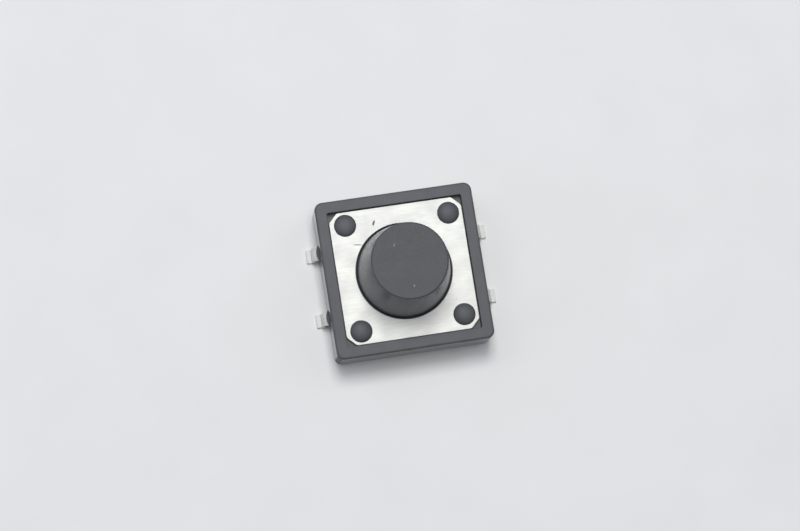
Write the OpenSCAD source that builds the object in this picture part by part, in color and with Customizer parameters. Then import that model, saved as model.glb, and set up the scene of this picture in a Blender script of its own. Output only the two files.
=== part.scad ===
// Tactile push button switch, surface-mount, 12 mm square, with a round tapered button.
// Units are millimetres. +Z points up. The origin is the centre of the base's underside,
// which sits on the circuit board. The feet of the four legs are level with it.
// X runs from one pair of legs to the other, and Y runs along each pair.

/* [Base] */
// Side of the square base
body_w = 12; // [11.8:0.1:16]
// Height of the base from its underside to the top of its rim
body_h = 3.5; // [3.3:0.1:6]
// Radius of the base's four upright corners
corner_r = 0.6; // [0.2:0.1:1.2]
// Width of the raised rim round the cover
rim_w = 0.88; // [0.5:0.01:1]
// Height of the contact floor inside, above the underside
floor_h = 1.2; // [1.1:0.05:1.5]
// How far the bulge round each leg stands out from the side wall
boss_out = 0.2; // [0.1:0.05:0.3]
// Thickness of the moulding round a leg where it leaves the bulge
boss_wall = 0.15; // [0.1:0.01:0.2]

/* [Cover] */
// Thickness of the sheet-metal cover
cover_t = 0.3; // [0.2:0.05:0.4]
// Depth of the cover's top face below the rim
cover_drop = 0.25; // [0.1:0.05:0.4]
// Gap between the cover's edge and the rim, on each side
cover_gap = 0.04; // [0.02:0.01:0.1]
// Length of the 45 degree cut at each corner, along the sides
corner_cut = 0.7; // [0.4:0.1:1]

/* [Posts] */
// Diameter of the four posts that hold the cover
post_d = 1.3; // [1:0.1:1.4]
// Diameter of a staked post head
head_d = 1.68; // [1.5:0.02:2]
// Height of a staked post head above the cover
head_h = 0.4; // [0.2:0.05:0.6]
// Distance from a post's centre to the cover's two nearest edges
post_inset = 1.12; // [0.9:0.02:1.2]
// Gap round each post in the cover
post_gap = 0.05; // [0.02:0.01:0.1]

/* [Button] */
// Diameter of the button at the cover's top face
button_d = 6.9; // [5:0.1:7]
// Diameter of the button's top, measured to the sharp corner of its outline
button_top_d = 5.75; // [4:0.05:6]
// Height of the button's top above the rim
button_h = 5; // [0.8:0.1:9]
// Radius of the rounded edge at the button's top
button_edge_r = 0.15; // [0.05:0.05:0.5]
// Gap round the button in the cover's hole
button_gap = 0.19; // [0.1:0.01:0.3]
// How far the button's flange reaches out under the cover
flange_grip = 0.5; // [0.3:0.05:0.6]
// Thickness of the button's flange
flange_t = 0.6; // [0.4:0.05:0.8]
// Gap between the flange and the cover at rest
flange_gap = 0.05; // [0.02:0.01:0.1]
// Least gap between the wall of the round cavity and the flange, and the dome
cavity_gap = 0.24; // [0.1:0.02:0.3]
// Diameter of the nub that presses the dome
nub_d = 2.4; // [1:0.1:3]
// Gap between the nub and the film over the dome at rest
nub_gap = 0.04; // [0.02:0.01:0.08]

/* [Contacts] */
// Diameter of the snap dome
dome_d = 7; // [5.8:0.1:7.4]
// Height of the snap dome
dome_h = 0.4; // [0.35:0.01:0.5]
// Thickness of the snap dome
dome_t = 0.08; // [0.05:0.01:0.1]
// Thickness of the film over the dome
film_t = 0.05; // [0.03:0.01:0.08]
// Gap between the dome and its film
film_gap = 0.01; // [0.01:0.01:0.03]
// Gap between the film's edge and the wall of the round cavity
film_side_gap = 0.3; // [0.1:0.05:0.4]
// Diameter of the centre contact
contact_d = 1.2; // [0.8:0.1:2]
// Height of the centre contact above the floor
contact_rise = 0.06; // [0.02:0.01:0.1]

/* [Terminals] */
// Width of a leg
leg_w = 1; // [0.8:0.05:1.3]
// Thickness of the terminal strip
strip_t = 0.25; // [0.2:0.05:0.3]
// Moulding between the top of the strip and the contact floor
strip_cover = 0.15; // [0.1:0.01:0.2]
// Distance between the two legs on one side, centre to centre
leg_pitch = 5; // [4.6:0.1:6]
// Distance from the side wall to the end of a foot
foot_reach = 0.93; // [0.85:0.01:1.6]
// Radius of a leg's two bends, at mid thickness
bend_r = 0.2; // [0.15:0.01:0.22]
// Width of a contact arm inside the base
arm_w = 1; // [0.8:0.05:1.2]

/* [Hidden] */
$fn = 96;
// Facets of the large thin ball that the dome and its film are cut from
ball_fn = 480;
// Overrun of a cut past the face it opens
cut = 0.5;

// Heights, from the underside up
cover_top = body_h - cover_drop;
cover_bottom = cover_top - cover_t;
strip_top = floor_h - strip_cover;
strip_mid = strip_top - strip_t / 2;
film_crest = floor_h + dome_h + film_gap + film_t;
nub_bottom = film_crest + nub_gap;
flange_top = cover_bottom - flange_gap;
flange_bottom = flange_top - flange_t;
button_top = body_h + button_h;

// Sizes across
pocket_w = body_w - 2 * rim_w;
cover_w = pocket_w - 2 * cover_gap;
post_at = cover_w / 2 - post_inset;
hole_r = button_d / 2 + button_gap;
flange_r = hole_r + flange_grip;
cavity_r = max(flange_r, dome_d / 2 + film_side_gap) + cavity_gap;
film_r = cavity_r - film_side_gap;

// The dome is a cap cut from a thin hollow ball
dome_r = dome_d / 2;
ball_r = (dome_r * dome_r + dome_h * dome_h) / (2 * dome_h);
ball_z = floor_h + dome_h - ball_r;

// Legs: the strip leaves the bulge at boss_x, bends down, and bends out again into its foot
bend_steps = 12;
boss_x = body_w / 2 + boss_out;
foot_mid = strip_t / 2;
foot_end = body_w / 2 + foot_reach;

// Square with rounded corners, centred
module rounded_square(side, r) {
    union() {
        square([side, side - 2 * r], center = true);
        square([side - 2 * r, side], center = true);
        for (sx = [-1, 1], sy = [-1, 1])
            translate([sx * (side / 2 - r), sy * (side / 2 - r)]) circle(r = r);
    }
}

// Square with its four corners cut at 45 degrees, centred
module cut_square(side, c) {
    h = side / 2;
    polygon([[h - c, -h], [h, -h + c], [h, h - c], [h - c, h],
             [-h + c, h], [-h, h - c], [-h, -h + c], [-h + c, -h]]);
}

// Places its children on the four posts
module at_posts() {
    for (sx = [-1, 1], sy = [-1, 1])
        translate([sx * post_at, sy * post_at, 0]) children();
}

// Low round cap: d across its foot, h high, standing on z = 0
module cap(d, h) {
    r = (d * d / 4 + h * h) / (2 * h);
    intersection() {
        translate([0, 0, h - r]) sphere(r = r);
        cylinder(d = 2 * d, h = 2 * h);
    }
}

// Post with its staked head, from the cover's seat up
module staked_post() {
    translate([0, 0, cover_bottom]) cylinder(d = post_d, h = cover_t);
    translate([0, 0, cover_top]) cap(head_d, head_h);
}

// Bulge on the side wall round one leg, on the +X side: a slice of an upright cylinder
module leg_boss() {
    half_w = leg_w / 2 + boss_wall;
    boss_h = strip_t + 2 * boss_wall;
    r = (half_w * half_w + boss_out * boss_out) / (2 * boss_out);
    translate([boss_x - r, 0, strip_mid - boss_h / 2]) cylinder(r = r, h = boss_h);
}

// Places its children, made for the +X side, at both ends of the strip at y
module at_both_ends(y) {
    translate([0, y, 0]) children();
    translate([0, y, 0]) mirror([1, 0, 0]) children();
}

// Straight bar of strip from one bulge to the other
module strip_bar(y) {
    translate([-boss_x, y - leg_w / 2, strip_top - strip_t])
        cube([2 * boss_x, leg_w, strip_t]);
}

// Part of the common strip that the base is moulded round: bar, two arms and two pads
module common_inside() {
    y = leg_pitch / 2;
    pad_x = dome_r - arm_w / 4;
    union() {
        strip_bar(y);
        for (side = [-1, 1]) {
            translate([side * pad_x - arm_w / 2, -arm_w / 2, strip_top - strip_t])
                cube([arm_w, y + arm_w / 2, strip_t]);
            translate([side * pad_x - arm_w / 2, -arm_w / 2, strip_top - strip_t])
                cube([arm_w, arm_w, strip_t + strip_cover]);
        }
    }
}

// Part of the signal strip that the base is moulded round: bar, tongue and centre contact
module signal_inside() {
    y = -leg_pitch / 2;
    tongue_w = contact_d + arm_w / 2;
    union() {
        strip_bar(y);
        translate([-tongue_w / 2, y, strip_top - strip_t])
            cube([tongue_w, tongue_w / 2 - y, strip_t]);
        translate([0, 0, strip_top - strip_t])
            cylinder(d = contact_d, h = strip_t + strip_cover + contact_rise);
    }
}

// Points along one face of a bend: centre c, radius r, from angle a0 to a1
function bend_face(c, r, a0, a1) =
    [for (i = [0:bend_steps]) let (a = a0 + (a1 - a0) * i / bend_steps) c + r * [cos(a), sin(a)]];

// One face of a leg seen from the side, from the bulge to the end of the foot: side is 1 for
// the face that starts uppermost and -1 for the other
function leg_face(side) = let (off = side * strip_t / 2) concat(
    [[boss_x - boss_out, strip_mid + off]],
    bend_face([boss_x, strip_mid - bend_r], bend_r + off, 90, 0),
    bend_face([boss_x + 2 * bend_r, foot_mid + bend_r], bend_r - off, 180, 270),
    [[foot_end, foot_mid + off]]);

// Side view of one leg, from inside the bulge to the end of the foot
module leg_side() {
    lower = leg_face(-1);
    last = len(lower) - 1;
    polygon(concat(leg_face(1), [for (i = [0:last]) lower[last - i]]));
}

// One leg on the +X side
module leg() {
    translate([0, leg_w / 2, 0]) rotate([90, 0, 0]) linear_extrude(height = leg_w) leg_side();
}

module base() {
    color([0.13, 0.13, 0.14]) union() {
        difference() {
            union() {
                linear_extrude(height = body_h) rounded_square(body_w, corner_r);
                for (y = [-leg_pitch / 2, leg_pitch / 2]) at_both_ends(y) leg_boss();
            }
            translate([-pocket_w / 2, -pocket_w / 2, cover_bottom])
                cube([pocket_w, pocket_w, cover_t + cover_drop + cut]);
            translate([0, 0, floor_h]) cylinder(r = cavity_r, h = body_h);
            common_inside();
            signal_inside();
        }
        at_posts() staked_post();
    }
}

module cover_plate() {
    color([0.86, 0.87, 0.86]) translate([0, 0, cover_bottom]) difference() {
        linear_extrude(height = cover_t) cut_square(cover_w, corner_cut);
        translate([0, 0, -cut]) cylinder(r = hole_r, h = cover_t + 2 * cut);
        at_posts() translate([0, 0, -cut])
            cylinder(d = post_d + 2 * post_gap, h = cover_t + 2 * cut);
    }
}

// Half section of the button above its flange, with a rounded top edge
module button_section() {
    rise = button_top - cover_top;
    draft = atan((button_d - button_top_d) / 2 / rise);
    foot_r = button_d / 2 + (cover_top - flange_top) * tan(draft);
    edge_z = button_top - button_edge_r;
    edge_x = button_top_d / 2 + button_edge_r * tan(draft) - button_edge_r / cos(draft);
    union() {
        polygon([[0, flange_top], [foot_r, flange_top],
                 [edge_x + button_edge_r * cos(draft), edge_z + button_edge_r * sin(draft)],
                 [edge_x, edge_z], [edge_x, button_top], [0, button_top]]);
        translate([edge_x, edge_z]) intersection() {
            circle(r = button_edge_r);
            polygon([[0, 0], 2 * button_edge_r * [cos(draft), sin(draft)],
                     2 * button_edge_r * [1, 1], [0, 2 * button_edge_r]]);
        }
    }
}

module button() {
    color([0.2, 0.2, 0.2]) union() {
        rotate_extrude() button_section();
        translate([0, 0, flange_bottom]) cylinder(r = flange_r, h = flange_t);
        translate([0, 0, nub_bottom]) cylinder(d = nub_d, h = flange_bottom - nub_bottom);
    }
}

module snap_dome() {
    color([0.75, 0.76, 0.78]) intersection() {
        translate([0, 0, ball_z]) difference() {
            sphere(r = ball_r, $fn = ball_fn);
            sphere(r = ball_r - dome_t, $fn = ball_fn);
        }
        translate([0, 0, floor_h]) cylinder(r = dome_d, h = 2 * dome_h);
    }
}

module dome_film() {
    inner_r = ball_r + film_gap;
    color([0.8, 0.55, 0.2]) difference() {
        union() {
            intersection() {
                translate([0, 0, ball_z]) sphere(r = inner_r + film_t, $fn = ball_fn);
                translate([0, 0, floor_h]) cylinder(r = dome_d, h = 2 * dome_h);
            }
            translate([0, 0, floor_h]) cylinder(r = film_r, h = film_t);
        }
        translate([0, 0, ball_z]) sphere(r = inner_r, $fn = ball_fn);
    }
}

module terminal_common() {
    color([0.82, 0.8, 0.72]) union() {
        common_inside();
        at_both_ends(leg_pitch / 2) leg();
    }
}

module terminal_signal() {
    color([0.8, 0.78, 0.7]) union() {
        signal_inside();
        at_both_ends(-leg_pitch / 2) leg();
    }
}

base();
cover_plate();
button();
snap_dome();
dome_film();
terminal_common();
terminal_signal();
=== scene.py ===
"""Looks of a 12 mm square tactile push button switch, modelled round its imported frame.

Pieces are modelled in millimetres and brought to metres when they are finished. +Z points up,
the base's underside is at z = 0, and X runs from one pair of legs to the other.
"""

import math

import bmesh
import bpy
from mathutils import Matrix, Vector


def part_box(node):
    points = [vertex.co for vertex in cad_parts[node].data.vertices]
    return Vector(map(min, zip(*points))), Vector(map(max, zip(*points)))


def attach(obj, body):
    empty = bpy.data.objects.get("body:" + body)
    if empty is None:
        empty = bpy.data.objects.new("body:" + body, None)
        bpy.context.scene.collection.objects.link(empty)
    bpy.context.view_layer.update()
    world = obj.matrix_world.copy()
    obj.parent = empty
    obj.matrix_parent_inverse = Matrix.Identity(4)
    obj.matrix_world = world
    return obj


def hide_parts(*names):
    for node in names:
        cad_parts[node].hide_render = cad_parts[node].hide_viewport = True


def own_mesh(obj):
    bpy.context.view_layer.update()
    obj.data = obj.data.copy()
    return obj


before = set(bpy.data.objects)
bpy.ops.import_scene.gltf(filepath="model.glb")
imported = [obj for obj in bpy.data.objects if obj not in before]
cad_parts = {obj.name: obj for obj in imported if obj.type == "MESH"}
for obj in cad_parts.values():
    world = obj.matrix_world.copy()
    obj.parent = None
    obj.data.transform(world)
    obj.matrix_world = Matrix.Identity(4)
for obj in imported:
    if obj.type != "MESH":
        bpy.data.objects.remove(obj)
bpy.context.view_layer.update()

MM = 0.001


def box_mm(node):
    """Lowest and highest corner of a CAD node, in millimetres."""
    low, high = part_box(node)
    return low / MM, high / MM


_, base_high = box_mm("base")
cover_low, cover_high = box_mm("cover_plate")
button_low, button_high = box_mm("button")
dome_low, dome_high = box_mm("snap_dome")
_, film_high = box_mm("dome_film")
common_low, common_high = box_mm("terminal_common")
_, signal_high = box_mm("terminal_signal")

# Base moulding
BODY_W = 2 * base_high.y
CORNER_R = 0.6
RIM_W = 0.88
RIM_DROP = 0.25
RIM_EDGE_R = 0.16
POCKET_W = BODY_W - 2 * RIM_W
POCKET_CORNER_R = 0.1
POCKET_EDGE_R = 0.04
FOOT_EDGE_R = 0.1
SEAT_Z = cover_low.z
COVER_TOP = cover_high.z
RIM_TOP = COVER_TOP + RIM_DROP
FLOOR_Z = dome_low.z
FILM_SIDE_GAP = 0.3
CAVITY_R = film_high.x + FILM_SIDE_GAP
CAVITY_EDGE_R = 0.05
RECESS_FIT = 0.01
RECESS_DEPTH = 0.12
EJECTOR_R = 0.6
EJECTOR_AT = 3.7
EJECTOR_DEPTH = 0.04
GATE_R = 0.45
GATE_DEPTH = 0.12

# Cover plate
COVER_W = 2 * cover_high.x
COVER_T = COVER_TOP - SEAT_Z
CORNER_CUT = 0.7
CUT_END_R = 0.12
COVER_EDGE_R = 0.045
COVER_UNDER_EDGE_R = 0.012
POST_INSET = 1.12
POST_AT = cover_high.x - POST_INSET
POST_R = 0.65
POST_GAP = 0.05
HEAD_R = 0.84
HEAD_H = base_high.z - COVER_TOP
HEAD_STEPS = 8
HEAD_LAST_TURN = 84
# How far each head is spread off its post, by whether the post is on the +X and the +Y side
HEAD_SHIFTS = {(False, True): (0.08, 0.07), (True, True): (0.03, -0.07),
               (False, False): (0.06, -0.10), (True, False): (0.02, 0.05)}

# Button
FLANGE_R = button_high.x
FLANGE_T = 0.6
FLANGE_GAP = 0.05
FLANGE_TOP = SEAT_Z - FLANGE_GAP
FLANGE_GRIP = 0.5
FLANGE_EDGE_R = 0.06
HOLE_R = FLANGE_R - FLANGE_GRIP
BUTTON_GAP = 0.14
BUTTON_R = HOLE_R - BUTTON_GAP
BUTTON_TOP_R = 2.875
BUTTON_TOP = button_high.z
BUTTON_EDGE_R = 0.15
NUB_R = 1.2
NUB_BOTTOM = button_low.z
INNER_FILLET = 0.08

# Snap dome and film
DOME_R = dome_high.x
DOME_TOP = dome_high.z
DOME_T = 0.08
DOME_EDGE = 0.02
FILM_T = 0.05
FILM_R = film_high.x
FILM_TOP = film_high.z
FILM_RISE = 0.15
CAP_RINGS = 12

# Terminal strips
STRIP_T = 0.25
STRIP_COVER = 0.15
STRIP_MID = FLOOR_Z - STRIP_COVER - STRIP_T / 2
LEG_W = 1.0
LEG_Y = common_high.y - LEG_W / 2
BULGE_X = base_high.x
BULGE_OUT = BULGE_X - BODY_W / 2
BULGE_WALL = 0.15
BULGE_TAPER = 0.15
SLOT_FIT = 0.012
SLOT_DEPTH = 0.3
STRIP_EDGE_R = 0.03
BEND_R = 0.2
FOOT_MID = common_low.z + STRIP_T / 2
FOOT_END = common_high.x
ARM_W = 1.0
ARM_X = DOME_R - ARM_W / 4
CONTACT_R = 0.6
CONTACT_TOP = signal_high.z
CONTACT_SINK = 0.02

# Fineness of the meshes
SQUARE_STEPS = 8
ROUND_STEPS = 128
POST_STEPS = 48
BEND_STEPS = 8
BULGE_STEPS = 16
SHARP_SHADING = math.radians(32)
SHARP_EDGE = math.radians(60)
FLAT = 0.9999
FACING = 0.999
SAME = 1e-4


# ---------------------------------------------------------------- modelling helpers

def of_kind(geometry, kind):
    """The items of one kind in what an operator gives back."""
    return [item for item in geometry if isinstance(item, kind)]


def new_edges(bm, draw):
    """Runs draw, which makes one flat face, takes the face away and returns its edges."""
    edges_before = set(bm.edges)
    faces_before = set(bm.faces)
    draw()
    faces = [face for face in bm.faces if face not in faces_before]
    bmesh.ops.delete(bm, geom=faces, context="FACES_ONLY")
    return [edge for edge in bm.edges if edge not in edges_before]


def square_loop(bm, side, corner, z, place=(0, 0)):
    """Level square outline with rounded corners, or with sharp ones where corner is 0."""
    def draw():
        at = Matrix.Translation((place[0], place[1], z))
        made = bmesh.ops.create_grid(bm, x_segments=1, y_segments=1, size=side / 2, matrix=at)
        if corner > 0:
            bmesh.ops.bevel(bm, geom=made["verts"], offset=corner, offset_type="OFFSET",
                            segments=SQUARE_STEPS, profile=0.5, affect="VERTICES",
                            material=-1)
    return new_edges(bm, draw)


def circle_loop(bm, radius, z, steps=ROUND_STEPS, place=(0, 0)):
    """Level circle outline."""
    at = Matrix.Translation((place[0], place[1], z))
    made = bmesh.ops.create_circle(bm, cap_ends=False, segments=steps, radius=radius, matrix=at)
    return list({edge for vert in made["verts"] for edge in vert.link_edges})


def fill_flat(bm, *loops):
    """Fills the level region inside the first outline and outside the others."""
    edges = [edge for loop in loops for edge in loop]
    made = bmesh.ops.triangle_fill(bm, edges=edges, use_beauty=True, normal=(0, 0, 1))
    return of_kind(made["geom"], bmesh.types.BMFace)


def pull(bm, loop, rise=0.0, place=(0, 0), scale=1.0):
    """Draws a wall from an outline: its far edge is raised, and scaled about place."""
    made = bmesh.ops.extrude_edge_only(bm, edges=loop)["geom"]
    verts = of_kind(made, bmesh.types.BMVert)
    centre = Matrix.Translation((-place[0], -place[1], 0))
    bmesh.ops.scale(bm, vec=(scale, scale, 1), space=centre, verts=verts)
    bmesh.ops.translate(bm, vec=(0, 0, rise), verts=verts)
    far = set(verts)
    return [edge for edge in of_kind(made, bmesh.types.BMEdge) if far.issuperset(edge.verts)]


def close(bm, loop):
    """Closes an outline with one flat face."""
    return bmesh.ops.edgeloop_fill(bm, edges=loop)["faces"]


def push(bm, face, move):
    """Extrudes one face and returns the face at the far end."""
    made = bmesh.ops.extrude_face_region(bm, geom=[face])["geom"]
    bmesh.ops.translate(bm, vec=move, verts=of_kind(made, bmesh.types.BMVert))
    return of_kind(made, bmesh.types.BMFace)[0]


def bend(bm, face, centre, angle):
    """Sweeps one face round a Y axis through centre and returns the face at the far end."""
    geometry = [face] + list(face.edges) + list(face.verts)
    made = bmesh.ops.spin(bm, geom=geometry, cent=centre, axis=(0, 1, 0), angle=angle,
                          steps=BEND_STEPS, use_merge=False, use_duplicate=False)
    return of_kind(made["geom_last"], bmesh.types.BMFace)[0]


def slice_faces(bm, faces, point, normal):
    """Cuts only the given faces with a plane and returns them and their new parts."""
    edges = {edge for face in faces for edge in face.edges}
    verts = {vert for face in faces for vert in face.verts}
    made = bmesh.ops.bisect_plane(bm, geom=faces + list(edges) + list(verts), dist=SAME,
                                  plane_co=point, plane_no=normal)
    return of_kind(made["geom"], bmesh.types.BMFace)


def round_edges(bm, edges, radius, steps=3):
    """Rounds edges to about the given radius."""
    bmesh.ops.bevel(bm, geom=edges, offset=radius, offset_type="OFFSET", segments=steps,
                    profile=0.5, affect="EDGES", material=-1, clamp_overlap=True)


def sharp_edges(bm, test=None):
    """Edges between two faces at a sharp angle whose ends pass the test."""
    found = []
    for edge in bm.edges:
        if len(edge.link_faces) != 2 or edge.calc_face_angle(0) < SHARP_EDGE:
            continue
        if test is None or all(test(vert.co) for vert in edge.verts):
            found.append(edge)
    return found


def face_over(bm, point, normal):
    """The upright or level face that holds the given point and looks along normal."""
    point = Vector(point)
    for face in bm.faces:
        if face.normal.dot(Vector(normal)) < FACING:
            continue
        low = Vector([min(vert.co[i] for vert in face.verts) for i in range(3)])
        high = Vector([max(vert.co[i] for vert in face.verts) for i in range(3)])
        if all(low[i] - SAME <= point[i] <= high[i] + SAME for i in range(3)):
            return face
    raise ValueError("no face there")


def spun(bm, outline):
    """Turns an outline of (radius, height) points about the Z axis into a closed shape."""
    verts = [bm.verts.new((radius, 0, height)) for radius, height in outline]
    edges = [bm.edges.new(pair) for pair in zip(verts, verts[1:])]
    bmesh.ops.spin(bm, geom=verts + edges, cent=(0, 0, 0), axis=(0, 0, 1),
                   angle=2 * math.pi, steps=ROUND_STEPS, use_merge=True,
                   use_duplicate=False)


def arc(centre, radius, start, end, steps):
    """Points of an arc in the (radius, height) plane, angles in degrees from level."""
    turns = [math.radians(start + (end - start) * i / steps) for i in range(steps + 1)]
    return [(centre[0] + radius * math.cos(a), centre[1] + radius * math.sin(a)) for a in turns]


def finish_piece(name, bm, material, body, node):
    """Makes the modelled shape a piece that stands for one CAD node and rides on its body.

    Level and upright faces are shaded flat, so that the roundings beside them don't tint them.
    """
    bmesh.ops.remove_doubles(bm, verts=bm.verts, dist=SAME)
    bmesh.ops.recalc_face_normals(bm, faces=bm.faces)
    bmesh.ops.scale(bm, vec=(MM, MM, MM), verts=bm.verts)
    mesh = bpy.data.meshes.new(name)
    bm.to_mesh(mesh)
    bm.free()
    mesh.materials.append(material)
    mesh.set_sharp_from_angle(angle=SHARP_SHADING)
    for face in mesh.polygons:
        face.use_smooth = max(abs(part) for part in face.normal) < FLAT
    piece = bpy.data.objects.new(name, mesh)
    bpy.context.scene.collection.objects.link(piece)
    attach(piece, body)
    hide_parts(node)
    return piece


# ---------------------------------------------------------------- material helpers

PER_MM = 1 / MM
MICRON = 1e-6


class Finish:
    """A material being built: a Principled shader with helpers for its textures."""

    def __init__(self, name, **sockets):
        self.material = bpy.data.materials.new(name)
        self.material.use_nodes = True
        self.nodes = self.material.node_tree.nodes
        self.links = self.material.node_tree.links
        self.shader = self.nodes["Principled BSDF"]
        for label, value in sockets.items():
            self.shader.inputs[label.replace("_", " ")].default_value = value

    def node(self, kind, inputs=None, **settings):
        """Adds a node; inputs maps a socket's name or number to a value or another socket."""
        made = self.nodes.new("ShaderNode" + kind)
        for label, value in settings.items():
            setattr(made, label, value)
        for label, value in (inputs or {}).items():
            if isinstance(value, bpy.types.NodeSocket):
                self.links.new(value, made.inputs[label])
            else:
                made.inputs[label].default_value = value
        return made

    def place(self):
        """Position on the piece, in metres."""
        return self.node("TexCoord").outputs["Object"]

    def noise(self, per_mm, detail=3.0, rough=0.5, stretch=(1, 1, 1)):
        """Noise with so many features to the millimetre, drawn out where stretch is small."""
        mapping = self.node("Mapping", {"Vector": self.place(), "Scale": stretch})
        made = self.node("TexNoise", {
            "Vector": mapping.outputs["Vector"], "Scale": per_mm * PER_MM, "Detail": detail,
            "Roughness": rough})
        return made.outputs["Fac"]

    def span(self, value, low, high, to_low=0.0, to_high=1.0, smooth=False):
        """Maps low..high of a value to to_low..to_high."""
        kind = "SMOOTHSTEP" if smooth else "LINEAR"
        made = self.node("MapRange", {
            "Value": value, "From Min": low, "From Max": high, "To Min": to_low,
            "To Max": to_high}, interpolation_type=kind)
        return made.outputs["Result"]

    def vary(self, noise, to_low=0.0, to_high=1.0):
        """Spreads the usual range of a noise over to_low..to_high."""
        return self.span(noise, 0.3, 0.7, to_low, to_high)

    def math(self, operation, first, second=0.0):
        """Result of one calculation on two values."""
        return self.node("Math", {0: first, 1: second}, operation=operation).outputs["Value"]

    def mix(self, share, first, second):
        """Blend of two colours."""
        made = self.node("Mix", {"Factor": share, "A": first, "B": second}, data_type="RGBA")
        return made.outputs["Result"]

    def bump(self, height, microns, strength=1.0):
        """Normal of a relief that is so many microns deep."""
        inputs = {"Height": height, "Distance": microns * MICRON, "Strength": strength}
        return self.node("Bump", inputs).outputs["Normal"]

    def beyond(self, axis, reach, blend=0.05):
        """0 within a distance of the middle plane and 1 past it, in millimetres."""
        along = self.node("SeparateXYZ", {0: self.place()}).outputs[axis]
        return self.span(self.math("ABSOLUTE", along), (reach - blend) * MM, reach * MM)

    def blot(self, x, y, length, width, turn=0.0, strength=1.0):
        """Share of a soft ragged spot seen from above: full in its middle, nothing outside."""
        full, gone = 0.55, 1.25
        raggedness = 0.35
        per_width = 1.5
        mapping = self.node("Mapping", {
            "Vector": self.place(), "Location": (x * MM, y * MM, 0),
            "Rotation": (0, 0, math.radians(turn)),
            "Scale": (length / 2 * MM, width / 2 * MM, 1)}, vector_type="TEXTURE")
        local = mapping.outputs["Vector"]
        apart = self.node("VectorMath", {0: local}, operation="LENGTH").outputs["Value"]
        ragged = self.noise(per_width / width, detail=2.0)
        ragged = self.vary(ragged, -raggedness, raggedness)
        return self.span(self.math("ADD", apart, ragged), full, gone, strength, 0.0, smooth=True)

    def use(self, socket, value):
        """Connects a value to one of the shader's sockets."""
        self.links.new(value, self.shader.inputs[socket])


def grey(level, tint=(1, 1, 1)):
    """A colour of one level with a slight tint."""
    return (level * tint[0], level * tint[1], level * tint[2], 1)


# ---------------------------------------------------------------- materials

COOL = (0.94, 0.99, 1.10)


def base_plastic():
    """Black moulding compound with a fine moulded grain, smooth only on the outside walls."""
    finish = Finish("base plastic", IOR=1.5)
    patches = finish.noise(0.9, detail=4)
    grain = finish.noise(14.0, detail=2)
    level = finish.math("ADD", finish.math("MULTIPLY", patches, 0.6),
                        finish.math("MULTIPLY", grain, 0.4))
    dark = grey(0.072, COOL)
    pale = grey(0.094, COOL)
    finish.use("Base Color", finish.mix(finish.vary(level), dark, pale))
    matt = finish.vary(grain, 0.54, 0.64)
    smooth = 0.08
    wall = BODY_W / 2 - 0.02
    outside = finish.math("MAXIMUM", finish.beyond("X", wall), finish.beyond("Y", wall))
    bulge = finish.beyond("X", BODY_W / 2 + 0.03, 0.02)
    rim = finish.beyond("Z", RIM_TOP - 0.15)
    inside = finish.math("SUBTRACT", 1.0, outside)
    textured = finish.math("MAXIMUM", finish.math("MAXIMUM", inside, rim), bulge)
    finish.use("Roughness", finish.span(textured, 0, 1, smooth, matt))
    finish.use("Normal", finish.bump(grain, 1, strength=textured))
    return finish.material


def button_plastic():
    """Black button plastic, textured on top and smoother below, its flank painted paler than the
    top as a stand-in for the bright surroundings it reflects, with two dust specks.
    """
    finish = Finish("button plastic", IOR=1.5)
    grain = finish.noise(11.0, detail=3, rough=0.6)
    patches = finish.noise(0.7, detail=3)
    top = finish.beyond("Z", BUTTON_TOP - 0.02)
    dark = grey(0.050, COOL)
    pale = grey(0.057, COOL)
    # painted reflection: the flank's paler colour stands in for the light it reflects at a grazing
    # view
    flank_painted_reflection = grey(0.098, COOL)
    dust = (0.34, 0.31, 0.28, 1)
    colour = finish.mix(finish.vary(patches), dark, pale)
    colour = finish.mix(top, flank_painted_reflection, colour)
    colour = finish.mix(finish.blot(-0.97, 1.30, 0.24, 0.13, turn=65, strength=0.5), colour, dust)
    colour = finish.mix(finish.blot(0.03, -1.89, 0.11, 0.20, strength=0.6), colour, dust)
    finish.use("Base Color", colour)
    matt = finish.vary(grain, 0.52, 0.62)
    smooth = 0.27
    finish.use("Roughness", finish.span(top, 0, 1, smooth, matt))
    finish.use("Normal", finish.bump(grain, 1.5, strength=top))
    return finish.material


def cover_metal():
    """Bright sheet steel, finely brushed along X, with four specks of dirt."""
    warm = (0.465, 0.475, 0.45, 1)
    plain = (0.475, 0.475, 0.475, 1)
    bright = (0.53, 0.535, 0.52, 1)
    dirt = (0.10, 0.09, 0.07, 1)
    finish = Finish("cover metal", Metallic=1.0)
    streaks = finish.noise(9.0, detail=4, rough=0.6, stretch=(0.12, 1, 1))
    broad = finish.noise(0.6, detail=3)
    base = finish.mix(finish.span(broad, 0.35, 0.65), warm, plain)
    colour = finish.mix(finish.vary(streaks), base, bright)
    colour = finish.mix(finish.blot(-1.71, 3.94, 0.40, 0.16, turn=65), colour, dirt)
    colour = finish.mix(finish.blot(-3.18, 2.46, 0.70, 0.09, turn=-9, strength=0.8), colour, dirt)
    colour = finish.mix(finish.blot(-3.11, -2.93, 0.08, 0.07, strength=0.6), colour, dirt)
    colour = finish.mix(finish.blot(3.54, -2.71, 0.08, 0.06, strength=0.6), colour, dirt)
    finish.use("Base Color", colour)
    finish.use("Roughness", finish.vary(broad, 0.55, 0.61))
    finish.use("Normal", finish.bump(streaks, 0.8))
    return finish.material


def terminal_metal():
    """Tinned brass strip, dull silver with a warm tint."""
    dull = (0.71, 0.705, 0.69, 1)
    bright = (0.84, 0.84, 0.825, 1)
    finish = Finish("terminal metal", Metallic=1.0)
    cloud = finish.noise(3.0, detail=4)
    fine = finish.noise(14.0, detail=2)
    finish.use("Base Color", finish.mix(finish.vary(cloud), dull, bright))
    finish.use("Roughness", finish.vary(cloud, 0.76, 0.86))
    finish.use("Normal", finish.bump(fine, 3))
    return finish.material


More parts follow.
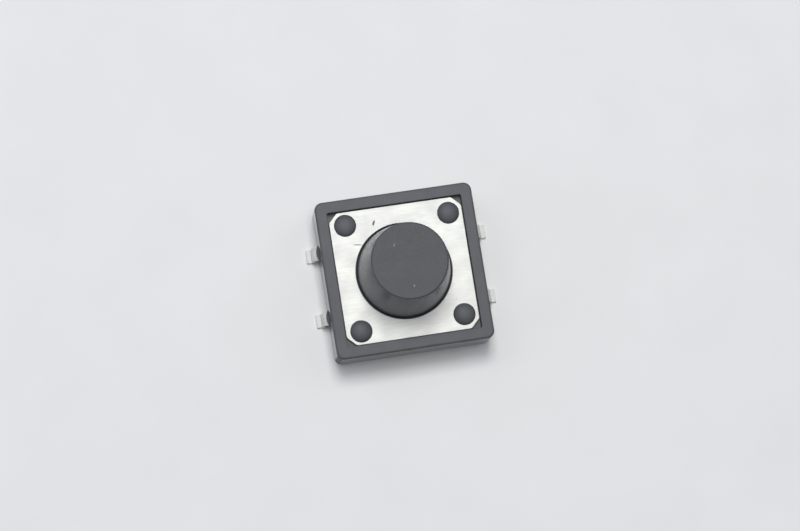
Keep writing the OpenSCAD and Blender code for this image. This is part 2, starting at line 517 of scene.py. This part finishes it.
def dome_metal():
    """Thin spring steel, faintly streaked by its rolling."""
    dull = (0.66, 0.67, 0.69, 1)
    bright = (0.80, 0.81, 0.83, 1)
    finish = Finish("dome metal", Metallic=1.0)
    streaks = finish.noise(8.0, detail=3, stretch=(0.1, 1, 1))
    finish.use("Base Color", finish.mix(streaks, dull, bright))
    finish.use("Roughness", finish.vary(streaks, 0.18, 0.30))
    return finish.material


def amber_film():
    """Thin amber film, half clear and faintly mottled."""
    deep = (0.78, 0.42, 0.10, 1)
    light = (0.86, 0.54, 0.18, 1)
    finish = Finish("amber film", IOR=1.6, Transmission_Weight=0.6)
    cloud = finish.noise(2.0, detail=3)
    finish.use("Base Color", finish.mix(cloud, deep, light))
    finish.use("Roughness", finish.vary(cloud, 0.15, 0.28))
    return finish.material


# ---------------------------------------------------------------- base moulding

def post_places():
    """The four places of the staked posts."""
    return [(sx * POST_AT, sy * POST_AT) for sx in (-1, 1) for sy in (-1, 1)]


def staked_post(bm, loop, place):
    """Post up through the cover, ending in a head that spreads over it a little to one side."""
    loop = pull(bm, loop, rise=COVER_TOP - SEAT_Z)
    loop = pull(bm, loop, place=place, scale=HEAD_R / POST_R)
    shift = HEAD_SHIFTS[place[0] > 0, place[1] > 0]
    verts = list({vert for edge in loop for vert in edge.verts})
    bmesh.ops.translate(bm, vec=(shift[0], shift[1], 0), verts=verts)
    place = (place[0] + shift[0], place[1] + shift[1])
    turns = [math.radians(HEAD_LAST_TURN * i / HEAD_STEPS) for i in range(HEAD_STEPS + 1)]
    for low, high in zip(turns, turns[1:]):
        rise = HEAD_H * (math.sin(high) - math.sin(low))
        loop = pull(bm, loop, rise=rise, place=place, scale=math.cos(high) / math.cos(low))
    cap = close(bm, loop)
    bmesh.ops.poke(bm, faces=cap, offset=HEAD_H * (1 - math.sin(turns[-1])))


def socket(bm, loop, depth):
    """Shallow recess from an outline, closed at its end."""
    close(bm, pull(bm, loop, rise=depth))


def base_shell(bm):
    """Outside, rim, pocket, cover seat, posts, round contact cavity and marked underside."""
    foot = square_loop(bm, BODY_W, CORNER_R, 0)
    rim_outside = square_loop(bm, BODY_W, CORNER_R, RIM_TOP)
    rim_inside = square_loop(bm, POCKET_W, POCKET_CORNER_R, RIM_TOP)
    seat = square_loop(bm, POCKET_W, POCKET_CORNER_R, SEAT_Z)
    for lower, upper in ((foot, rim_outside), (rim_outside, rim_inside), (rim_inside, seat)):
        bmesh.ops.bridge_loops(bm, edges=lower + upper)

    mouth = circle_loop(bm, CAVITY_R, SEAT_Z)
    posts = [circle_loop(bm, POST_R, SEAT_Z, POST_STEPS, place) for place in post_places()]
    fill_flat(bm, seat, mouth, *posts)
    for loop, place in zip(posts, post_places()):
        staked_post(bm, loop, place)

    cavity_floor = pull(bm, mouth, rise=FLOOR_Z - SEAT_Z)
    pads = [square_loop(bm, ARM_W + 2 * RECESS_FIT, 0, FLOOR_Z, place=(x, 0))
            for x in (-ARM_X, ARM_X)]
    contact = circle_loop(bm, CONTACT_R + RECESS_FIT, FLOOR_Z, POST_STEPS)
    fill_flat(bm, cavity_floor, contact, *pads)
    for loop in [contact] + pads:
        socket(bm, loop, -RECESS_DEPTH)

    marks = [circle_loop(bm, EJECTOR_R, 0, POST_STEPS, (sx * EJECTOR_AT, sy * EJECTOR_AT))
             for sx in (-1, 1) for sy in (-1, 1)]
    gate = circle_loop(bm, GATE_R, 0, POST_STEPS)
    fill_flat(bm, foot, gate, *marks)
    for loop in marks:
        socket(bm, loop, EJECTOR_DEPTH)
    socket(bm, gate, GATE_DEPTH)


def bulge_depth(across):
    """How far the wall bulges round a leg, at a distance sideways from the leg's middle."""
    half_w = LEG_W / 2 + BULGE_WALL
    round_r = (half_w ** 2 + BULGE_OUT ** 2) / (2 * BULGE_OUT)
    return max(0.0, math.sqrt(max(0.0, round_r ** 2 - across ** 2)) - round_r + BULGE_OUT)


def leg_bulge(bm, side, y):
    """Bulge on the side wall round one leg, with the slot that the leg comes out of."""
    slot_w = LEG_W / 2 + SLOT_FIT
    slot_h = STRIP_T / 2 + SLOT_FIT
    half_w = LEG_W / 2 + BULGE_WALL
    half_h = STRIP_T / 2 + BULGE_WALL
    wall_x = side * BODY_W / 2
    out = (side, 0, 0)
    here = (wall_x, y, STRIP_MID)
    for across in (-half_w, half_w):
        slice_faces(bm, [face_over(bm, here, out)], (0, y + across, 0), (0, 1, 0))
    for above in (-half_h, half_h):
        slice_faces(bm, [face_over(bm, here, out)], (0, 0, STRIP_MID + above), (0, 0, 1))
    faces = [face_over(bm, here, out)]
    cuts = [slot_w * (2 * i / BULGE_STEPS - 1) for i in range(BULGE_STEPS + 1)]
    flank_cuts = [share * half_w for share in (-0.95, 0.95, -0.87, 0.87)]
    for across in cuts + flank_cuts:
        faces = slice_faces(bm, faces, (0, y + across, 0), (0, 1, 0))
    for above in (-slot_h, slot_h):
        faces = slice_faces(bm, faces, (0, 0, STRIP_MID + above), (0, 0, 1))
    made = bmesh.ops.extrude_face_region(bm, geom=faces)["geom"]
    for vert in of_kind(made, bmesh.types.BMVert):
        depth = bulge_depth(vert.co.y - y)
        vert.co.x += side * depth
        vert.co.z += BULGE_TAPER * depth * (STRIP_MID - vert.co.z) / half_h
    slot = [face for face in of_kind(made, bmesh.types.BMFace)
            if abs(face.calc_center_median().y - y) < slot_w
            and abs(face.calc_center_median().z - STRIP_MID) < slot_h]
    made = bmesh.ops.extrude_face_region(bm, geom=slot)["geom"]
    bmesh.ops.translate(bm, vec=(-side * SLOT_DEPTH, 0, 0),
                        verts=of_kind(made, bmesh.types.BMVert))


def base_moulding():
    """The whole black base."""
    bm = bmesh.new()
    base_shell(bm)
    bmesh.ops.recalc_face_normals(bm, faces=bm.faces)
    outside = BODY_W / 2 - CORNER_R

    def on_rim_outside(co):
        return abs(co.z - RIM_TOP) < SAME and max(abs(co.x), abs(co.y)) > outside

    def on_rim_inside(co):
        return abs(co.z - RIM_TOP) < SAME and max(abs(co.x), abs(co.y)) < outside

    def on_foot(co):
        return abs(co.z) < SAME and max(abs(co.x), abs(co.y)) > outside

    def on_mouth(co):
        return abs(co.z - SEAT_Z) < SAME and abs(math.hypot(co.x, co.y) - CAVITY_R) < 0.01

    round_edges(bm, sharp_edges(bm, on_rim_outside), RIM_EDGE_R, 5)
    round_edges(bm, sharp_edges(bm, on_rim_inside), POCKET_EDGE_R, 2)
    round_edges(bm, sharp_edges(bm, on_foot), FOOT_EDGE_R, 3)
    round_edges(bm, sharp_edges(bm, on_mouth), CAVITY_EDGE_R, 2)
    for side in (-1, 1):
        for y in (-LEG_Y, LEG_Y):
            leg_bulge(bm, side, y)
    return finish_piece("base_moulding", bm, base_plastic(), "housing", "base")


# ---------------------------------------------------------------- cover plate

def cut_cornered_face(bm):
    """Square face with its corners cut across and the ends of the cuts a little rounded."""
    at = Matrix.Translation((0, 0, COVER_TOP))
    made = bmesh.ops.create_grid(bm, x_segments=1, y_segments=1, size=COVER_W / 2, matrix=at)
    made = bmesh.ops.bevel(bm, geom=made["verts"], offset=CORNER_CUT, offset_type="OFFSET",
                           segments=1, profile=0.5, affect="VERTICES", material=-1)
    bmesh.ops.bevel(bm, geom=made["verts"], offset=CUT_END_R, offset_type="OFFSET",
                    segments=4, profile=0.5, affect="VERTICES", material=-1)


def cover_sheet():
    """Stamped cover with cut corners, the button's hole and four post holes."""
    bm = bmesh.new()
    outer = new_edges(bm, lambda: cut_cornered_face(bm))
    holes = [circle_loop(bm, HOLE_R, COVER_TOP)]
    holes += [circle_loop(bm, POST_R + POST_GAP, COVER_TOP, POST_STEPS, place)
              for place in post_places()]
    top = fill_flat(bm, outer, *holes)
    made = bmesh.ops.extrude_face_region(bm, geom=top)["geom"]
    bmesh.ops.translate(bm, vec=(0, 0, -COVER_T), verts=of_kind(made, bmesh.types.BMVert))
    bmesh.ops.recalc_face_normals(bm, faces=bm.faces)

    def on_top(co):
        return abs(co.z - COVER_TOP) < SAME

    def on_bottom(co):
        return abs(co.z - SEAT_Z) < SAME

    round_edges(bm, sharp_edges(bm, on_top), COVER_EDGE_R, 3)
    round_edges(bm, sharp_edges(bm, on_bottom), COVER_UNDER_EDGE_R, 1)
    return finish_piece("cover_sheet", bm, cover_metal(), "housing", "cover_plate")


# ---------------------------------------------------------------- button

def push_button():
    """Tapered button with a rounded top edge, its retaining flange and pressing nub."""
    rise = BUTTON_TOP - COVER_TOP
    draft = math.atan((BUTTON_R - BUTTON_TOP_R) / rise)
    foot_r = BUTTON_R + (COVER_TOP - FLANGE_TOP) * math.tan(draft)
    edge_z = BUTTON_TOP - BUTTON_EDGE_R
    edge_r = BUTTON_TOP_R + BUTTON_EDGE_R * math.tan(draft) - BUTTON_EDGE_R / math.cos(draft)
    flange_bottom = FLANGE_TOP - FLANGE_T
    small = FLANGE_EDGE_R
    fillet = INNER_FILLET
    outline = [(0, BUTTON_TOP), (edge_r / 2, BUTTON_TOP)]
    outline += arc((edge_r, edge_z), BUTTON_EDGE_R, 90, math.degrees(draft), 7)
    outline += [(foot_r + 0.02, FLANGE_TOP + fillet), (foot_r + 0.1, FLANGE_TOP)]
    outline += arc((FLANGE_R - small, FLANGE_TOP - small), small, 90, 0, 3)
    outline += arc((FLANGE_R - small, flange_bottom + small), small, 0, -90, 3)
    outline += [(NUB_R + fillet, flange_bottom), (NUB_R, flange_bottom - fillet)]
    outline += arc((NUB_R - small, NUB_BOTTOM + small), small, 0, -90, 3)
    outline += [(0, NUB_BOTTOM)]
    bm = bmesh.new()
    spun(bm, outline)
    return finish_piece("push_button", bm, button_plastic(), "plunger", "button")


# ---------------------------------------------------------------- snap dome and film

def cap_height(radius, foot_r, crest):
    """Height above the floor of a shallow round cap, at a distance from its middle."""
    ball = (foot_r ** 2 + crest ** 2) / (2 * crest)
    return math.sqrt(ball ** 2 - radius ** 2) - ball + crest


def flatten_when_pressed(piece):
    """Gives the piece a mesh of its own. The button's nub pushes the dome and its film down at the
    end of the stroke, but nothing here flattens them.
    """
    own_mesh(piece)


def contact_dome():
    """Thin spring steel disc, domed, with a closed edge all round."""
    crest = DOME_TOP - FLOOR_Z
    rings = [DOME_R * i / CAP_RINGS for i in range(CAP_RINGS + 1)]
    outer = [(r, FLOOR_Z + cap_height(r, DOME_R, crest)) for r in rings]
    inner_foot = DOME_R - DOME_EDGE
    inner = [(min(r, inner_foot), max(FLOOR_Z, z - DOME_T)) for r, z in outer]
    bm = bmesh.new()
    spun(bm, outer + inner[::-1])
    piece = finish_piece("contact_dome", bm, dome_metal(), "housing", "snap_dome")
    flatten_when_pressed(piece)


def sealing_film():
    """Amber film that lies on the floor round the dome and follows it over the middle."""
    crest = FILM_TOP - FLOOR_Z
    rise_r = DOME_R + FILM_RISE
    rings = [rise_r * i / CAP_RINGS for i in range(CAP_RINGS + 1)]
    domed = [(r, FLOOR_Z + max(FILM_T, cap_height(r, rise_r, crest))) for r in rings]
    top = domed + [(FILM_R, FLOOR_Z + FILM_T)]
    under = [(r, max(FLOOR_Z, z - FILM_T)) for r, z in top]
    bm = bmesh.new()
    spun(bm, top + under[::-1])
    piece = finish_piece("sealing_film", bm, amber_film(), "housing", "dome_film")
    flatten_when_pressed(piece)


# ---------------------------------------------------------------- terminal strips

def strip_and_leg(bm, y):
    """Half of a strip: straight from the middle, then bent down and out again into its foot."""
    section = Matrix.Translation((0, y, STRIP_MID)) @ Matrix.Rotation(math.pi / 2, 4, "Y")
    section = section @ Matrix.Diagonal((STRIP_T, LEG_W, 1, 1))
    made = bmesh.ops.create_grid(bm, x_segments=1, y_segments=1, size=0.5, matrix=section)
    face = made["verts"][0].link_faces[0]
    face = push(bm, face, (BULGE_X, 0, 0))
    face = bend(bm, face, (BULGE_X, y, STRIP_MID - BEND_R), math.pi / 2)
    face = push(bm, face, (0, 0, FOOT_MID + 2 * BEND_R - STRIP_MID))
    face = bend(bm, face, (BULGE_X + 2 * BEND_R, y, FOOT_MID + BEND_R), -math.pi / 2)
    push(bm, face, (FOOT_END - BULGE_X - 2 * BEND_R, 0, 0))


def branch(bm, y, low_x, high_x, reach):
    """Widens the strip sideways between two places along it, from y out to reach."""
    side = 1 if reach > y else -1
    edge_y = y + side * LEG_W / 2
    out = (0, side, 0)
    here = ((low_x + high_x) / 2, edge_y, STRIP_MID)
    for x in (low_x, high_x):
        slice_faces(bm, [face_over(bm, here, out)], (x, 0, 0), (1, 0, 0))
    return push(bm, face_over(bm, here, out), (0, reach - edge_y, 0))


def mirror_strip(bm):
    """Completes a half strip across the middle plane and joins the two halves."""
    middle = [face for face in bm.faces if all(abs(vert.co.x) < SAME for vert in face.verts)]
    bmesh.ops.delete(bm, geom=middle, context="FACES")
    geometry = list(bm.verts) + list(bm.edges) + list(bm.faces)
    bmesh.ops.mirror(bm, geom=geometry, matrix=Matrix.Identity(4), merge_dist=SAME, axis="X")
    bmesh.ops.remove_doubles(bm, verts=bm.verts, dist=SAME)
    bmesh.ops.recalc_face_normals(bm, faces=bm.faces)


def raise_pad(bm, x, y, rise):
    """Presses up a square pad at the end of a contact arm."""
    top = STRIP_MID + STRIP_T / 2
    inside = y + ARM_W / 2
    slice_faces(bm, [face_over(bm, (x, y, top), (0, 0, 1))], (0, inside, 0), (0, 1, 0))
    push(bm, face_over(bm, (x, y, top), (0, 0, 1)), (0, 0, rise))


def common_strip(metal):
    """Common terminal: two legs, the bar between them and two arms to the dome's edge."""
    bm = bmesh.new()
    strip_and_leg(bm, LEG_Y)
    bmesh.ops.recalc_face_normals(bm, faces=bm.faces)
    branch(bm, LEG_Y, ARM_X - ARM_W / 2, ARM_X + ARM_W / 2, -ARM_W / 2)
    mirror_strip(bm)
    for x in (-ARM_X, ARM_X):
        raise_pad(bm, x, 0, STRIP_COVER)
    round_edges(bm, sharp_edges(bm), STRIP_EDGE_R, 2)
    return finish_piece("common_strip", bm, metal, "housing",
                        "terminal_common")


def branch_from_middle(bm, y, high_x, reach):
    """Widens a half strip sideways from the middle plane to high_x."""
    edge_y = y + LEG_W / 2
    here = (high_x / 2, edge_y, STRIP_MID)
    slice_faces(bm, [face_over(bm, here, (0, 1, 0))], (high_x, 0, 0), (1, 0, 0))
    push(bm, face_over(bm, here, (0, 1, 0)), (0, reach - edge_y, 0))


def signal_strip(metal):
    """Signal terminal: two legs, the bar between them and a tongue with the centre contact."""
    bm = bmesh.new()
    strip_and_leg(bm, -LEG_Y)
    bmesh.ops.recalc_face_normals(bm, faces=bm.faces)
    half = CONTACT_R + ARM_W / 4
    branch_from_middle(bm, -LEG_Y, half, half)
    mirror_strip(bm)
    contact_bottom = STRIP_MID + STRIP_T / 2 - CONTACT_SINK
    at = Matrix.Translation((0, 0, (CONTACT_TOP + contact_bottom) / 2))
    bmesh.ops.create_cone(bm, cap_ends=True, cap_tris=False, segments=POST_STEPS, matrix=at,
                          radius1=CONTACT_R, radius2=CONTACT_R, depth=CONTACT_TOP - contact_bottom)
    round_edges(bm, sharp_edges(bm), STRIP_EDGE_R, 2)
    return finish_piece("signal_strip", bm, metal, "housing",
                        "terminal_signal")


# ---------------------------------------------------------------- floor, light and camera

def floor():
    """Plain pale surface, 3 m square, that the switch stands on."""
    bm = bmesh.new()
    bmesh.ops.create_grid(bm, x_segments=4, y_segments=4, size=1.5, matrix=Matrix.Identity(4))
    mesh = bpy.data.meshes.new("pale_floor")
    bm.to_mesh(mesh)
    bm.free()
    finish = Finish("pale floor", Roughness=0.7, Specular_IOR_Level=0.2)
    cloud = finish.noise(0.15, detail=4)
    finish.use("Base Color", finish.mix(finish.vary(cloud), grey(0.775), grey(0.80)))
    mesh.materials.append(finish.material)
    piece = bpy.data.objects.new("pale_floor", mesh)
    bpy.context.scene.collection.objects.link(piece)


def light_panel(name, from_top, azimuth, size, power, colour):
    """Square soft light half a metre away that looks at the switch; angles in degrees."""
    distance = 0.5
    tilt = math.radians(from_top)
    turn = math.radians(azimuth)
    way = Vector((math.sin(tilt) * math.cos(turn), math.sin(tilt) * math.sin(turn),
                  math.cos(tilt)))
    data = bpy.data.lights.new(name, "AREA")
    data.size = size
    data.energy = power
    data.color = colour
    panel = bpy.data.objects.new(name, data)
    panel.matrix_world = (Matrix.Translation(distance * way)
                          @ (-way).to_track_quat("-Z", "Y").to_matrix().to_4x4())
    bpy.context.scene.collection.objects.link(panel)


def light():
    """Two soft panels, overhead and a little behind, with weak fill from all round."""
    world = bpy.data.worlds.new("dim room")
    world.use_nodes = True
    background = world.node_tree.nodes["Background"]
    background.inputs["Color"].default_value = (0.75, 0.87, 1.0, 1)
    background.inputs["Strength"].default_value = 0.05
    bpy.context.scene.world = world
    warm = (1.0, 0.98, 0.96)
    cool = (0.72, 0.86, 1.0)
    light_panel("overhead_panel", 0, 0, 0.18, 0.73, warm)
    light_panel("back_panel", 20, 90, 0.16, 1.30, warm)
    light_panel("left_back_fill", 45, 140, 0.30, 0.34, cool)
    light_panel("right_fill", 45, 20, 0.30, 0.30, cool)
    light_panel("left_low_fill", 70, 180, 0.36, 0.22, cool)
    light_panel("front_fill", 20, 270, 0.16, 0.07, cool)
    bpy.context.scene.view_settings.view_transform = "Standard"


def camera():
    """Camera almost overhead, turned and rolled the way the switch is seen."""
    azimuth = math.radians(-37.452)
    elevation = math.radians(80.595)
    roll = math.radians(28.734)
    distance = 0.200
    target = Vector((-0.275, 0.409, RIM_TOP)) * MM
    back = Vector((math.sin(azimuth) * math.cos(elevation),
                   -math.cos(azimuth) * math.cos(elevation), math.sin(elevation)))
    right = Vector((math.cos(azimuth), math.sin(azimuth), 0))
    up = back.cross(right)
    right_rolled = math.cos(roll) * right + math.sin(roll) * up
    up_rolled = math.cos(roll) * up - math.sin(roll) * right
    data = bpy.data.cameras.new("camera")
    data.sensor_width = 36
    data.lens = 119.778
    data.clip_start = 0.001
    data.clip_end = 10
    eye = bpy.data.objects.new("camera", data)
    turn = Matrix((right_rolled, up_rolled, back)).transposed().to_4x4()
    eye.matrix_world = Matrix.Translation(target + distance * back) @ turn
    bpy.context.scene.collection.objects.link(eye)
    bpy.context.scene.camera = eye


camera()
light()
floor()
base_moulding()
cover_sheet()
push_button()
contact_dome()
sealing_film()
strip_metal = terminal_metal()
common_strip(strip_metal)
signal_strip(strip_metal)
